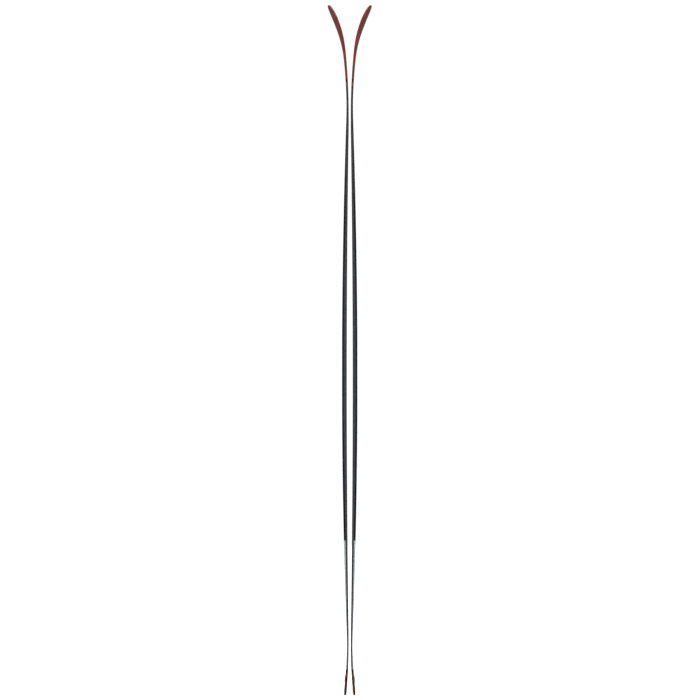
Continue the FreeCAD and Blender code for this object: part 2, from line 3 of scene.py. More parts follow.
import bmesh
import bpy
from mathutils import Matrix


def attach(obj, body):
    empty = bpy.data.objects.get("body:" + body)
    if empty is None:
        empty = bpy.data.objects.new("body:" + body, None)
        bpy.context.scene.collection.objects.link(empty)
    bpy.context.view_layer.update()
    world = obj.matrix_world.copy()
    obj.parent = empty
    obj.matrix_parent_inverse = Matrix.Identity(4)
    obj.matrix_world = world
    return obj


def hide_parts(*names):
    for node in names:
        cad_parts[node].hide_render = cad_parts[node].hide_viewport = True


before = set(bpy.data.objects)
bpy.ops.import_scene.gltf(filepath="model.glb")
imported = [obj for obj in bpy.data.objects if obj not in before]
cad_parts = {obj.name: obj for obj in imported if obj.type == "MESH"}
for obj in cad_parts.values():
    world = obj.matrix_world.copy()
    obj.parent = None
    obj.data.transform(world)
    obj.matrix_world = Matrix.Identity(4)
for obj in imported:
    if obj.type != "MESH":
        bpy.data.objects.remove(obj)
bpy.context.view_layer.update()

# ---------------------------------------------------------------- running bases
# A base is a 1.2 mm sheet of black sintered polyethylene, glued between the steel edges and
# stone-ground along its length. It carries the whole bow of the ski: camber in the middle and
# a rocker at each end. Near the tip, past the edges' ends, it takes the full width.
SKIS = (("left", -1), ("right", 1))
ski_length = 1760
half_gap = 2.6
glue_line = 0.05
protector_height = 16
body_start = protector_height + glue_line
tail_contact = 126
tip_contact = 1472
camber_height = 5.1
tail_rocker = 1120
tip_rocker = 1605
shovel_start = 1635
shovel_radius = 299
edge_end = 1640
past_edges = edge_end + glue_line


def arc_at(centre, radius, z, side):
    """Where an arc about (across, along) lies at height z, on its low (-1) or high (1) side."""
    return centre[0] + side * math.sqrt(max(radius ** 2 - (z - centre[1]) ** 2, 0))


def between(first, second, radius):
    """The point at that distance from the first centre, on the way to the second."""
    share = radius / math.dist(first, second)
    return [a + (b - a) * share for a, b in zip(first, second)]


def shovel_from(centre):
    """The tighter shovel arc that leaves a tip rocker arc without a kink."""
    leave = (arc_at(centre, tip_rocker, shovel_start, -1), shovel_start)
    return between(leave, centre, shovel_radius)


span = tip_contact - tail_contact
camber_run = span / 2 + camber_height * (tail_rocker - tip_rocker) / span
camber_radius = (camber_run ** 2 + camber_height ** 2) / (2 * camber_height) - tail_rocker
tail_centre = (half_gap + tail_rocker, tail_contact)
tip_centre = (half_gap + tip_rocker, tip_contact)
camber_centre = (half_gap + camber_height - camber_radius, tail_contact + camber_run)
base_arcs = [
    (between(tail_centre, camber_centre, tail_rocker)[1], tail_centre, tail_rocker, -1),
    (between(tip_centre, camber_centre, tip_rocker)[1], camber_centre, camber_radius, 1),
    (shovel_start, tip_centre, tip_rocker, -1),
    (math.inf, shovel_from(tip_centre), shovel_radius, -1)]


def follow(arcs, z):
    """How far across a chain of arcs (end, centre, radius, side) lies at height z."""
    for end, centre, radius, side in arcs:
        if z <= end:
            return arc_at(centre, radius, z, side)


def up(height):
    """A surface that many mm above the base."""
    return lambda z: follow(base_arcs, z) + height


# The outline, seen square on: round nose, sidecut, and a straight-cut tail with round corners.
# Shovel, waist and tail are (half the width, height) where the ski is widest or narrowest.
nose_radius = 60
nose = (0, ski_length - nose_radius)
shovel = (67, 1560)
waist = (49, 790)
tail = (60, 95)
nose_run = nose[1] - shovel[1]
flank_radius = (shovel[0] ** 2 + nose_run ** 2 - nose_radius ** 2) / (2 * (shovel[0] - nose_radius))
flank = (shovel[0] - flank_radius, shovel[1])
rear_flank_radius = 300
rear_flank = (tail[0] - rear_flank_radius, tail[1])
corner_radius = 35
corner_out = math.sqrt((rear_flank_radius - corner_radius) ** 2 - (tail[1] - corner_radius) ** 2)
corner = (rear_flank[0] + corner_out, corner_radius)


def sidecut(centre, radius):
    """Radius of the sidecut arc between the waist and a flank arc."""
    spread = waist[0] - centre[0]
    reach = waist[1] - centre[1]
    return (radius ** 2 - reach ** 2 - spread ** 2) / (2 * (spread - radius))


front_cut = sidecut(flank, flank_radius)
rear_cut = sidecut(rear_flank, rear_flank_radius)


def half_width(z, inset):
    """Half the ski's width at height z, measured to a line that runs inset mm inside its outline."""
    front = (waist[0] + front_cut, waist[1])
    rear = (waist[0] + rear_cut, waist[1])
    low = between(rear_flank, corner, rear_flank_radius - inset)
    rear_turn = between(rear_flank, rear, rear_flank_radius - inset)
    front_turn = between(flank, front, flank_radius - inset)
    nose_turn = between(flank, nose, flank_radius - inset)
    return follow([
        (low[1], corner, corner_radius - inset, 1),
        (rear_turn[1], rear_flank, rear_flank_radius - inset, 1),
        (waist[1], rear, rear_cut + inset, -1),
        (front_turn[1], front, front_cut + inset, -1),
        (nose_turn[1], flank, flank_radius - inset, 1),
        (math.inf, nose, nose_radius - inset, 1)], z)


def in_plan(z, inset):
    """(across, along) of an outline point moved inset mm inwards; radially in the round nose."""
    lift = (z - nose[1]) / nose_radius
    if lift < 0.1:
        return half_width(z, inset), z
    return (nose_radius - inset) * math.sqrt(1 - lift ** 2), nose[1] + (nose_radius - inset) * lift


def stations(low, high, *extra):
    """Heights at which a layer's section is drawn: close together where its outline is round."""
    heights = {low, min(high, nose[1] + nose_radius * math.sin(math.radians(89.2))), *extra}
    z = 8 * math.ceil(low / 8)
    while z < min(high, nose[1]):
        heights.add(z)
        z += 8
    heights.update(z for z in range(18, 40, 2) if low < z < high)
    if high > nose[1] + 6:
        turns = [nose[1] + nose_radius * math.sin(math.radians(4 * k)) for k in range(2, 23)]
        heights.update(z for z in turns if z < high)
    return sorted(heights)


def loft(name, ski, facing, heights, section, sides, finish, slots=None):
    """A closed layer through one section per height. Section points are (inset, surface). Sides is
    (1, -1) for a layer that spans the ski, or one of them for a strip along that side."""
    if len(sides) == 2:
        ring = [(1, *point) for point in section] + [(-1, *point) for point in reversed(section)]
    else:
        ring = [(sides[0], *point) for point in section]
    shape = bmesh.new()
    rows = []
    for z in heights:
        row = []
        for side, inset, surface in ring:
            depth = inset(z) if callable(inset) else inset
            across, along = in_plan(z, depth)
            spot = (facing * surface(along) / 1000, side * across / 1000, along / 1000)
            row.append(shape.verts.new(spot))
        rows.append(row)
    count = len(ring)
    for low, high in zip(rows, rows[1:]):
        for k in range(count):
            n = (k + 1) % count
            face = shape.faces.new((low[k], low[n], high[n], high[k]))
            face.material_index = slots[k] if slots else 0
    shape.faces.new(rows[0])
    shape.faces.new(rows[-1])
    return finish_mesh(shape, f"{ski}.{name}", f"{ski}_ski", finish)


def finish_mesh(shape, name, body, materials):
    """Turns a bmesh into a smooth-shaded piece that rides on one ski."""
    bmesh.ops.recalc_face_normals(shape, faces=shape.faces)
    mesh = bpy.data.meshes.new(name)
    shape.to_mesh(mesh)
    shape.free()
    mesh.shade_smooth()
    mesh.set_sharp_from_angle(angle=math.radians(28))
    piece = bpy.data.objects.new(name, mesh)
    bpy.context.collection.objects.link(piece)
    for material in materials:
        mesh.materials.append(material)
    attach(piece, body)
    return piece


def tint(code):
    """A linear colour from its sRGB hex code."""
    parts = [int(code[k:k + 2], 16) / 255 for k in (1, 3, 5)]
    return [c / 12.92 if c <= 0.04045 else ((c + 0.055) / 1.055) ** 2.4 for c in parts] + [1]


def add(tree, kind, settings=None, **inputs):
    """A node whose properties and named inputs are set; an input may be another node's socket."""
    node = tree.nodes.new(kind)
    for key, value in (settings or {}).items():
        setattr(node, key, value)
    for key, value in inputs.items():
        socket = node.inputs[int(key[2:])] if key.startswith("in") and key[2:].isdigit() \
            else node.inputs[key.replace("_", " ")]
        if isinstance(value, bpy.types.NodeSocket):
            tree.links.new(value, socket)
        else:
            socket.default_value = value
    return node


def new_group(name, inputs, outputs):
    """An empty node group with named sockets, and its two end nodes."""
    tree = bpy.data.node_groups.new(name, "ShaderNodeTree")
    for side, sockets in (("INPUT", inputs), ("OUTPUT", outputs)):
        for label, kind in sockets:
            tree.interface.new_socket(label, in_out=side, socket_type=f"NodeSocket{kind}")
    return tree, tree.nodes.new("NodeGroupInput"), tree.nodes.new("NodeGroupOutput")


def use(material, group, **inputs):
    return add(material.node_tree, "ShaderNodeGroup", {"node_tree": group}, **inputs)


def new_material(name):
    """A material with only a Principled shader and its output."""
    material = bpy.data.materials.new(name)
    material.use_nodes = True
    tree = material.node_tree
    tree.nodes.clear()
    shader = tree.nodes.new("ShaderNodeBsdfPrincipled")
    output = tree.nodes.new("ShaderNodeOutputMaterial")
    tree.links.new(shader.outputs[0], output.inputs[0])
    return material, shader


def join(material, source, shader, socket):
    material.node_tree.links.new(source, shader.inputs[socket])


def bumped(material, height, shader, strength, distance):
    """Feeds a height into the shader's normal."""
    bump = add(material.node_tree, "ShaderNodeBump", Strength=strength, Distance=distance, Height=height)
    join(material, bump.outputs[0], shader, "Normal")


def ramp(material, value, low, high):
    """Spreads a 0 to 1 value between two numbers."""
    node = add(material.node_tree, "ShaderNodeMapRange", Value=value)
    node.inputs["To Min"].default_value = low
    node.inputs["To Max"].default_value = high
    return node.outputs[0]


def blend(material, factor, first, second):
    """A colour between two, by a factor."""
    node = add(material.node_tree, "ShaderNodeMix", {"data_type": "RGBA"})
    material.node_tree.links.new(factor, node.inputs[0])
    for index, colour in ((6, first), (7, second)):
        if isinstance(colour, bpy.types.NodeSocket):
            material.node_tree.links.new(colour, node.inputs[index])
        else:
            node.inputs[index].default_value = colour
    return node.outputs[2]


# Fine marks that run along the ski, such as grinding, milling and drawn sheet.
grain, ins, outs = new_group(
    "Lengthwise Grain", [("Across", "Float"), ("Along", "Float"), ("Detail", "Float")], [("Value", "Float")])
place = add(grain, "ShaderNodeTexCoord")
pitch = add(grain, "ShaderNodeCombineXYZ", X=ins.outputs["Across"], Y=ins.outputs["Across"],
            Z=ins.outputs["Along"])
scaled = add(grain, "ShaderNodeVectorMath", {"operation": "MULTIPLY"}, in0=place.outputs["Object"],
             in1=pitch.outputs[0])
lines = add(grain, "ShaderNodeTexNoise", Vector=scaled.outputs[0], Scale=1, Detail=ins.outputs["Detail"],
            Roughness=0.6)
grain.links.new(lines.outputs[0], outs.inputs[0])

# Soft patches of handling haze, with a few fine short scratches in them.
wear, ins, outs = new_group("Handling Wear", [("Size", "Float")], [("Haze", "Float"), ("Scratch", "Float")])
place = add(wear, "ShaderNodeTexCoord")
patches = add(wear, "ShaderNodeTexNoise", Vector=place.outputs["Object"], Scale=ins.outputs["Size"], Detail=4)
haze = add(wear, "ShaderNodeMapRange", Value=patches.outputs[0])
haze.inputs["From Min"].default_value = 0.35
haze.inputs["From Max"].default_value = 0.7
skew = add(wear, "ShaderNodeMapping", Vector=place.outputs["Object"])
skew.inputs["Rotation"].default_value = (0.25, 0, 0)
skew.inputs["Scale"].default_value = (2800, 2800, 45)
streaks = add(wear, "ShaderNodeTexNoise", Vector=skew.outputs[0], Scale=1, Detail=1)
sharp = add(wear, "ShaderNodeMapRange", Value=streaks.outputs[0])
sharp.inputs["From Min"].default_value = 0.66
sharp.inputs["From Max"].default_value = 0.72
some = add(wear, "ShaderNodeMath", {"operation": "MULTIPLY"}, in0=sharp.outputs[0], in1=haze.outputs[0])
faint = add(wear, "ShaderNodeMath", {"operation": "MULTIPLY"}, in0=some.outputs[0], in1=0.45)
wear.links.new(haze.outputs[0], outs.inputs["Haze"])
wear.links.new(faint.outputs[0], outs.inputs["Scratch"])

ptex, shader = new_material("sintered base")
fine = use(ptex, grain, Across=2600.0, Along=6.0, Detail=3.0).outputs[0]
wide = use(ptex, grain, Across=420.0, Along=1.5, Detail=2.0).outputs[0]
marks = use(ptex, wear, Size=9.0)
colour = blend(ptex, wide, tint("#17181b"), tint("#26282c"))
join(ptex, blend(ptex, marks.outputs["Scratch"], colour, tint("#4a4d52")), shader, "Base Color")
join(ptex, ramp(ptex, marks.outputs["Haze"], 0.34, 0.52), shader, "Roughness")
bumped(ptex, fine, shader, 0.5, 0.00005)


def beside_edge(clear, beyond=0.0):
    """An inset that keeps a layer beside the edges as far as they go, then takes it outwards."""
    return lambda z: clear if z <= edge_end else beyond


for ski, facing in SKIS:
    rim = beside_edge(2.05)
    soft_rim = beside_edge(2.2, 0.2)
    base = loft("running_base", ski, facing, stations(body_start, ski_length, edge_end, past_edges),
                [(soft_rim, up(0)), (rim, up(0.15)), (rim, up(1.2))], (1, -1), [ptex])
    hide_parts(f"{ski}_running_base")

# ---------------------------------------------------------------- steel edges
# Each edge is one drawn bar of hardened steel, 2 mm wide and 1.6 mm high, with a thin flange that the
# laminate holds. It is ground and filed lengthwise and its corner is slightly broken. Its colour is set zone
# by zone along the ski: near-black at the bands of the tail and the tip, dark grey along the pale tail, mid
# grey in the middle and darker grey at the tip.
# The ski is banded along its length. Each piece gives these zones its own colours.
livery, ins, outs = new_group(
    "Livery Zones",
    [(name, "Color") for name in ("Tail Red", "Band Dark", "Band Red", "Tail Pale", "Middle", "Tip Red")],
    [("Color", "Color")])
place = add(livery, "ShaderNodeTexCoord")
height = add(livery, "ShaderNodeSeparateXYZ", Vector=place.outputs["Object"])
current = ins.outputs["Tail Red"]
for start, name in ((0.048, "Band Dark"), (0.055, "Band Red"), (0.063, "Band Dark"), (0.075, "Tail Pale"),
                    (0.398, "Middle"), (1.542, "Band Red"), (1.551, "Band Dark"), (1.56, "Tip Red")):
    above = add(livery, "ShaderNodeMath", {"operation": "GREATER_THAN"}, in0=height.outputs["Z"], in1=start)
    mix = add(livery, "ShaderNodeMix", {"data_type": "RGBA"})
    livery.links.new(above.outputs[0], mix.inputs[0])
    livery.links.new(current, mix.inputs[6])
    livery.links.new(ins.outputs[name], mix.inputs[7])
    current = mix.outputs[2]
livery.links.new(current, outs.inputs["Color"])

steel, shader = new_material("filed steel")
filed = use(steel, grain, Across=5200.0, Along=30.0, Detail=4.0).outputs[0]
drawn = use(steel, grain, Across=900.0, Along=3.0, Detail=2.0).outputs[0]
marks = use(steel, wear, Size=22.0)
# The steel's colour follows the livery zones: near-black at the tail's and tip's bands, dark grey along the
# pale tail, mid grey in the middle, darker grey at the tip.
zones = use(steel, livery, Tail_Red=tint("#101113"), Band_Dark=tint("#101113"), Band_Red=tint("#101113"),
            Tail_Pale=tint("#33373c"), Middle=tint("#41464b"), Tip_Red=tint("#26292c"))
join(steel, blend(steel, drawn, zones.outputs["Color"], tint("#596066")), shader, "Base Color")
join(steel, ramp(steel, marks.outputs["Haze"], 0.26, 0.42), shader, "Roughness")
shader.inputs["Metallic"].default_value = 0.9
bumped(steel, filed, shader, 0.35, 0.00003)

flange_foot = 1.25
edge_height = 1.6
for ski, facing in SKIS:
    for node, side in (("inside_edge", -1), ("outside_edge", 1)):
        edge = loft(node, ski, facing, stations(body_start, edge_end),
                    [(0.15, up(0)), (2.0, up(0)), (2.0, up(flange_foot)), (6.5, up(flange_foot)),
                     (6.5, up(edge_height)), (0, up(edge_height)), (0, up(0.15))], (side,), [steel])
        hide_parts(f"{ski}_{node}")

# ---------------------------------------------------------------- base backing
# A pale bonding fleece on the back of the base, as thick as the edges' flanges and laid between
# them, so that the layers above lie flat.
fleece, shader = new_material("bonding fleece")
fibres = add(fleece.node_tree, "ShaderNodeTexNoise", Scale=1400, Detail=6, Roughness=0.7)
place = add(fleece.node_tree, "ShaderNodeTexCoord")
fleece.node_tree.links.new(place.outputs["Object"], fibres.inputs["Vector"])
join(fleece, blend(fleece, fibres.outputs[0], tint("#a9a79c"), tint("#d8d6cb")), shader, "Base Color")
shader.inputs["Roughness"].default_value = 0.9
bumped(fleece, fibres.outputs[0], shader, 0.5, 0.0001)

for ski, facing in SKIS:
    beside = beside_edge(6.55, 0.3)
    backing = loft("base_backing", ski, facing, stations(body_start, ski_length, edge_end, past_edges),
                   [(beside, up(flange_foot)), (beside, up(edge_height))], (1, -1), [fleece])
    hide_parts(f"{ski}_base_backing")

# ---------------------------------------------------------------- laminate sheets
# Glass fibre runs the whole length under and over the core. Sheets of rubber and of sanded
# aluminium alloy lie between them from the tail spacer to the tip spacer. Epoxy bonds them all.
tail_thickness = 4.8
tip_thickness = 4.5
platform = 19.45
half_platform = 95
binding_centre = 812
blend_radius = tip_rocker - 283
blend_end = 1611

top_tail = (tail_centre[0] + tail_thickness, tail_contact)
top_tip = (tip_centre[0] + tip_thickness, tip_contact)
blend_turn = (arc_at(top_tip, tip_rocker, blend_end, -1), blend_end)
blend_centre = between(blend_turn, top_tip, blend_radius)
rear_crown = front_crown = 18000
for _ in range(6):
    rear_apex = platform + half_platform ** 2 / (2 * rear_crown)
    rise = rear_apex - (top_tail[0] - tail_rocker)
    rear_crown = ((binding_centre - tail_contact) ** 2 + rise ** 2) / (2 * rise) - tail_rocker
    front_apex = platform + half_platform ** 2 / (2 * front_crown)
    rise = blend_centre[0] - front_apex
    run = blend_centre[1] - binding_centre
    front_crown = (rise ** 2 + run ** 2 - blend_radius ** 2) / (2 * (blend_radius - rise))
rear_centre = (rear_apex - rear_crown, binding_centre)
front_centre = (front_apex - front_crown, binding_centre)
flat_radius = 1e7
top_arcs = [
    (between(top_tail, rear_centre, tail_rocker)[1], top_tail, tail_rocker, -1),
    (binding_centre - half_platform, rear_centre, rear_crown, 1),
    (binding_centre + half_platform, (platform - flat_radius, binding_centre), flat_radius, 1),
    (between(blend_centre, front_centre, blend_radius)[1], front_centre, front_crown, 1),
    (blend_end, blend_centre, blend_radius, -1),
    (shovel_start, top_tip, tip_rocker, -1),
    (math.inf, shovel_from(top_tip), shovel_radius, -1)]


def down(depth):
    """A surface that many mm below the top."""
    return lambda z: follow(top_arcs, z) - depth


glass, shader = new_material("glass laminate")
roving = use(glass, grain, Across=1500.0, Along=4.0, Detail=2.0).outputs[0]
join(glass, blend(glass, roving, tint("#4b4d45"), tint("#676a5e")), shader, "Base Color")
shader.inputs["Roughness"].default_value = 0.4
bumped(glass, roving, shader, 0.4, 0.00005)

foil, shader = new_material("damping rubber")
mottle = use(foil, grain, Across=300.0, Along=300.0, Detail=5.0).outputs[0]
join(foil, blend(foil, mottle, tint("#0e0e0f"), tint("#1e1e20")), shader, "Base Color")
shader.inputs["Roughness"].default_value = 0.75
bumped(foil, mottle, shader, 0.3, 0.00005)

alloy, shader = new_material("sanded alloy")
sanding = use(alloy, grain, Across=3600.0, Along=18.0, Detail=3.0).outputs[0]
join(alloy, blend(alloy, sanding, tint("#8d8f90"), tint("#bdbfc0")), shader, "Base Color")
join(alloy, ramp(alloy, sanding, 0.3, 0.5), shader, "Roughness")
shader.inputs["Metallic"].default_value = 1.0
bumped(alloy, sanding, shader, 0.3, 0.00003)

laminate_foot = edge_height + glue_line
core_start = 75
core_end = 1542
core_joints = (core_start - glue_line, core_start, core_end, core_end + glue_line)
full_length = (body_start, ski_length)
core_length = (core_start, core_end)
rim_inset = 0.3
lip_inset = 1.02


def under_lip(z):
    """The upper sheets stand back further where a sidewall's slanted lip covers their rim."""
    return lip_inset if core_start <= z <= core_end else rim_inset


for ski, facing in SKIS:
    for node, slot, material, (low, high), rim, under, over in (
            ("lower_glass", "glass_fibre", glass, full_length, rim_inset, up(laminate_foot), up(2.05)),
            ("damping_rubber", "damping_rubber", foil, core_length, rim_inset, up(2.1), up(2.4)),
            ("lower_titanal", "titanal", alloy, core_length, rim_inset, up(2.45), up(2.85)),
            ("upper_titanal", "titanal", alloy, core_length, lip_inset, down(1.6), down(1.2)),
            ("upper_glass", "glass_fibre", glass, full_length, under_lip, down(1.15), down(0.75))):
        extra = core_joints if low < core_start else ()
        layer = loft(node, ski, facing, stations(low, high, *extra), [(rim, under), (rim, over)],
                     (1, -1), [material])
        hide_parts(f"{ski}_{node}")

# ---------------------------------------------------------------- wood core
# Ash and poplar stringers, glued side by side, with a fibre plate let in under the binding. The
# laminate hides them, so these are the frame's own solids with grain along the ski.
for node, pale, dark, along in (("ash_stringers", "#c9a878", "#9a7848", 3.0),
                                ("poplar_stringers", "#dccaa2", "#c2ab7c", 2.0),
                                ("binding_reinforcement", "#a3946a", "#7d6f49", 40.0)):
    wood, shader = new_material(node.replace("_", " "))
    rings = use(wood, grain, Across=380.0, Along=along, Detail=6.0).outputs[0]
    pores = use(wood, grain, Across=2400.0, Along=90.0, Detail=2.0).outputs[0]
    join(wood, blend(wood, rings, tint(dark), tint(pale)), shader, "Base Color")
    join(wood, ramp(wood, rings, 0.55, 0.75), shader, "Roughness")
    bumped(wood, pores, shader, 0.3, 0.00008)
    for ski, facing in SKIS:
        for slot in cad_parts[f"{ski}_{node}"].material_slots:
            slot.material = wood

# ---------------------------------------------------------------- sidewalls
# Strips of milled ABS along both sides of the core. The lower part is mid grey and upright. Over
# a fine milled groove, the upper part slants in, printed in the ski's livery up to the topsheet.
wall, shader = new_material("milled sidewall")
milled = use(wall, grain, Across=1800.0, Along=45.0, Detail=3.0).outputs[0]
marks = use(wall, wear, Size=30.0)
colour = blend(wall, milled, tint("#2b2f36"), tint("#3a4048"))
join(wall, blend(wall, marks.outputs["Scratch"], colour, tint("#868d94")), shader, "Base Color")
join(wall, ramp(wall, milled, 0.42, 0.6), shader, "Roughness")
shader.inputs["Specular IOR Level"].default_value = 0.3
bumped(wall, milled, shader, 0.3, 0.00005)

cap, shader = new_material("printed cap strip")
zones = use(cap, livery, Tail_Red=tint("#7c150d"), Band_Dark=tint("#08090a"), Band_Red=tint("#894c4b"),
            Tail_Pale=tint("#a9b1b6"), Middle=tint("#06080d"), Tip_Red=tint("#972412"))
marks = use(cap, wear, Size=26.0)
join(cap, blend(cap, marks.outputs["Scratch"], zones.outputs["Color"], tint("#70757b")), shader, "Base Color")
join(cap, ramp(cap, marks.outputs["Haze"], 0.32, 0.46), shader, "Roughness")
shader.inputs["Specular IOR Level"].default_value = 0.14
bumped(cap, use(cap, grain, Across=1600.0, Along=60.0, Detail=2.0).outputs[0], shader, 0.15, 0.00005)

core_foot = 2.9


def seam(z):
    """Height of the milled groove: 4.6 mm below the top, or lower where the ski is thin."""
    floor = up(core_foot)(z)
    return max(down(4.6)(z), floor + 0.35 * (down(0.72)(z) - floor))


for ski, facing in SKIS:
    for node, side in (("inside_sidewall", -1), ("outside_sidewall", 1)):
        strip = loft(node, ski, facing, stations(core_start, core_end),
                     [(0, up(core_foot)), (0, lambda z: seam(z) - 0.1), (0.22, seam),
                      (0.12, lambda z: seam(z) + 0.12), (0.93, down(0.72)), (0.99, down(0.72)),
                      (0.99, down(1.65)), (7, down(1.65)), (7, up(core_foot))],
                     (side,), [wall, cap], (0, 0, 0, 1, 1, 1, 0, 0, 0))
        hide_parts(f"{ski}_{node}")

# ---------------------------------------------------------------- tip and tail spacers
# Solid plastic fills the ski's ends, where the wood core stops. Its rim is moulded over the
# laminate's edges and shows as the ski's red sides at the shovel and the tail.
moulded, shader = new_material("moulded spacer")
zones = use(moulded, livery, Tail_Red=tint("#7c150d"), Band_Dark=tint("#08090a"), Band_Red=tint("#894c4b"),
            Tail_Pale=tint("#a9b1b6"), Middle=tint("#06080d"), Tip_Red=tint("#97261a"))
marks = use(moulded, wear, Size=30.0)
join(moulded, blend(moulded, marks.outputs["Scratch"], zones.outputs["Color"], tint("#b0655c")), shader,
     "Base Color")
join(moulded, ramp(moulded, marks.outputs["Haze"], 0.3, 0.45), shader, "Roughness")
shader.inputs["Specular IOR Level"].default_value = 0.3
bumped(moulded, use(moulded, grain, Across=1300.0, Along=200.0, Detail=3.0).outputs[0], shader, 0.12, 0.00005)


def rim_foot(z):
    """The moulded rim starts just over the edge, or over the base where there is no edge."""
    return up(laminate_foot if z <= edge_end else flange_foot)(z)


for ski, facing in SKIS:
    for node, low, high, extra in (("tail_spacer", body_start, core_start - glue_line, ()),
                                   ("tip_spacer", core_end + glue_line, ski_length, (edge_end, past_edges))):
        spacer = loft(node, ski, facing, stations(low, high, *extra),
                      [(0.25, up(2.1)), (0.25, rim_foot), (0, rim_foot), (0, down(0.95)), (0.2, down(0.72)),
                       (1.05, down(0.72)), (1.05, down(0.745)), (0.25, down(0.745)), (0.25, down(1.2))],
                      (1, -1), [moulded])
        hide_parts(f"{ski}_{node}")

# ---------------------------------------------------------------- topsheets
# A 0.7 mm clear-coated polyamide sheet with a rounded shoulder, printed on its underside: pale
# at the tail, near-black in the middle, red at the tip, with plain stripes and tonal chevrons.
print_lines, ins, outs = new_group(
    "Printed Lines", [("Pitch", "Float"), ("Slope", "Float")], [("Chevron", "Float"), ("Stripe", "Float")])
place = add(print_lines, "ShaderNodeTexCoord")
axes = add(print_lines, "ShaderNodeSeparateXYZ", Vector=place.outputs["Object"])
off = add(print_lines, "ShaderNodeMath", {"operation": "ABSOLUTE"}, in0=axes.outputs["Y"])
lean = add(print_lines, "ShaderNodeMath", {"operation": "MULTIPLY_ADD"}, in0=off.outputs[0],
           in1=ins.outputs["Slope"], in2=axes.outputs["Z"])
turn = add(print_lines, "ShaderNodeMath", {"operation": "DIVIDE"}, in0=lean.outputs[0],
           in1=ins.outputs["Pitch"])
part = add(print_lines, "ShaderNodeMath", {"operation": "FRACT"}, in0=turn.outputs[0])
chevron = add(print_lines, "ShaderNodeMath", {"operation": "GREATER_THAN"}, in0=part.outputs[0], in1=0.62)
total = None
for centre, half in ((0.012, 0.0035), (0.034, 0.0015), (0.041, 0.004)):
    near = add(print_lines, "ShaderNodeMath", {"operation": "COMPARE"}, in0=off.outputs[0], in1=centre,
               in2=half)
    if total is None:
        total = near.outputs[0]
    else:
        total = add(print_lines, "ShaderNodeMath", {"operation": "MAXIMUM"}, in0=total,
                    in1=near.outputs[0]).outputs[0]
print_lines.links.new(chevron.outputs[0], outs.inputs["Chevron"])
print_lines.links.new(total, outs.inputs["Stripe"])

sheet, shader = new_material("clear-coated topsheet")
plain = use(sheet, livery, Tail_Red=tint("#7f1c13"), Band_Dark=tint("#08090a"), Band_Red=tint("#7c3a37"),
            Tail_Pale=tint("#c3cace"), Middle=tint("#0d1015"), Tip_Red=tint("#9c2d26"))
tonal = use(sheet, livery, Tail_Red=tint("#7a1b13"), Band_Dark=tint("#08090a"), Band_Red=tint("#7c3a37"),
            Tail_Pale=tint("#b3babf"), Middle=tint("#1b212b"), Tip_Red=tint("#86261f"))
striped = use(sheet, livery, Tail_Red=tint("#3a1210"), Band_Dark=tint("#08090a"), Band_Red=tint("#5b2d2b"),
              Tail_Pale=tint("#8f979d"), Middle=tint("#272c35"), Tip_Red=tint("#2a1213"))
lines = use(sheet, print_lines, Pitch=0.11, Slope=1.6)
colour = blend(sheet, lines.outputs["Chevron"], plain.outputs["Color"], tonal.outputs["Color"])
colour = blend(sheet, lines.outputs["Stripe"], colour, striped.outputs["Color"])
marks = use(sheet, wear, Size=14.0)
join(sheet, blend(sheet, marks.outputs["Scratch"], colour, tint("#6c6f74")), shader, "Base Color")
join(sheet, ramp(sheet, marks.outputs["Haze"], 0.34, 0.5), shader, "Roughness")
shader.inputs["Specular IOR Level"].default_value = 0.15
shader.inputs["Coat Weight"].default_value = 0.06
shader.inputs["Coat Roughness"].default_value = 0.22
peel = add(sheet.node_tree, "ShaderNodeTexNoise", Scale=160, Detail=2)
place = add(sheet.node_tree, "ShaderNodeTexCoord")
sheet.node_tree.links.new(place.outputs["Object"], peel.inputs["Vector"])
bumped(sheet, peel.outputs[0], shader, 0.12, 0.0001)

for ski, facing in SKIS:
    cover = loft("topsheet", ski, facing, stations(body_start, ski_length),
                 [(1.0, down(0.7)), (1.03, down(0.35)), (1.2, down(0.12)), (1.7, down(0))],
                 (1, -1), [sheet])
    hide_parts(f"{ski}_topsheet")

# ---------------------------------------------------------------- tail protectors
# A black moulded block, 16 mm high, closes each tail from base to topsheet and takes the ski's
# weight when it stands. Its corners are softly broken and its foot is scuffed.
block, shader = new_material("moulded protector")
pebble = add(block.node_tree, "ShaderNodeTexNoise", Scale=2200, Detail=3)
place = add(block.node_tree, "ShaderNodeTexCoord")
block.node_tree.links.new(place.outputs["Object"], pebble.inputs["Vector"])
marks = use(block, wear, Size=60.0)
join(block, blend(block, marks.outputs["Scratch"], tint("#070708"), tint("#3b3c40")), shader, "Base Color")
join(block, ramp(block, marks.outputs["Haze"], 0.38, 0.58), shader, "Roughness")
shader.inputs["Specular IOR Level"].default_value = 0.25
bumped(block, pebble.outputs[0], shader, 0.25, 0.00006)


def eased(surface, inwards):
    """A face that turns in over the last 0.8 mm above the floor."""
    return lambda z: surface(z) + inwards * 0.6 * max(0, 1 - z / 0.8)


for ski, facing in SKIS:
    heights = [0, 0.3, 0.8] + [corner_radius * (1 - math.cos(math.radians(a))) for a in range(16, 57, 4)]
    shoe = loft("tail_protector", ski, facing, [z for z in heights if z < 15.5] + [protector_height],
                [(0.7, eased(up(0), 1)), (0, eased(up(0.7), 1)), (0, eased(down(0.7), -1)),
                 (0.7, eased(down(0), -1))], (1, -1), [block])
    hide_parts(f"{ski}_tail_protector")

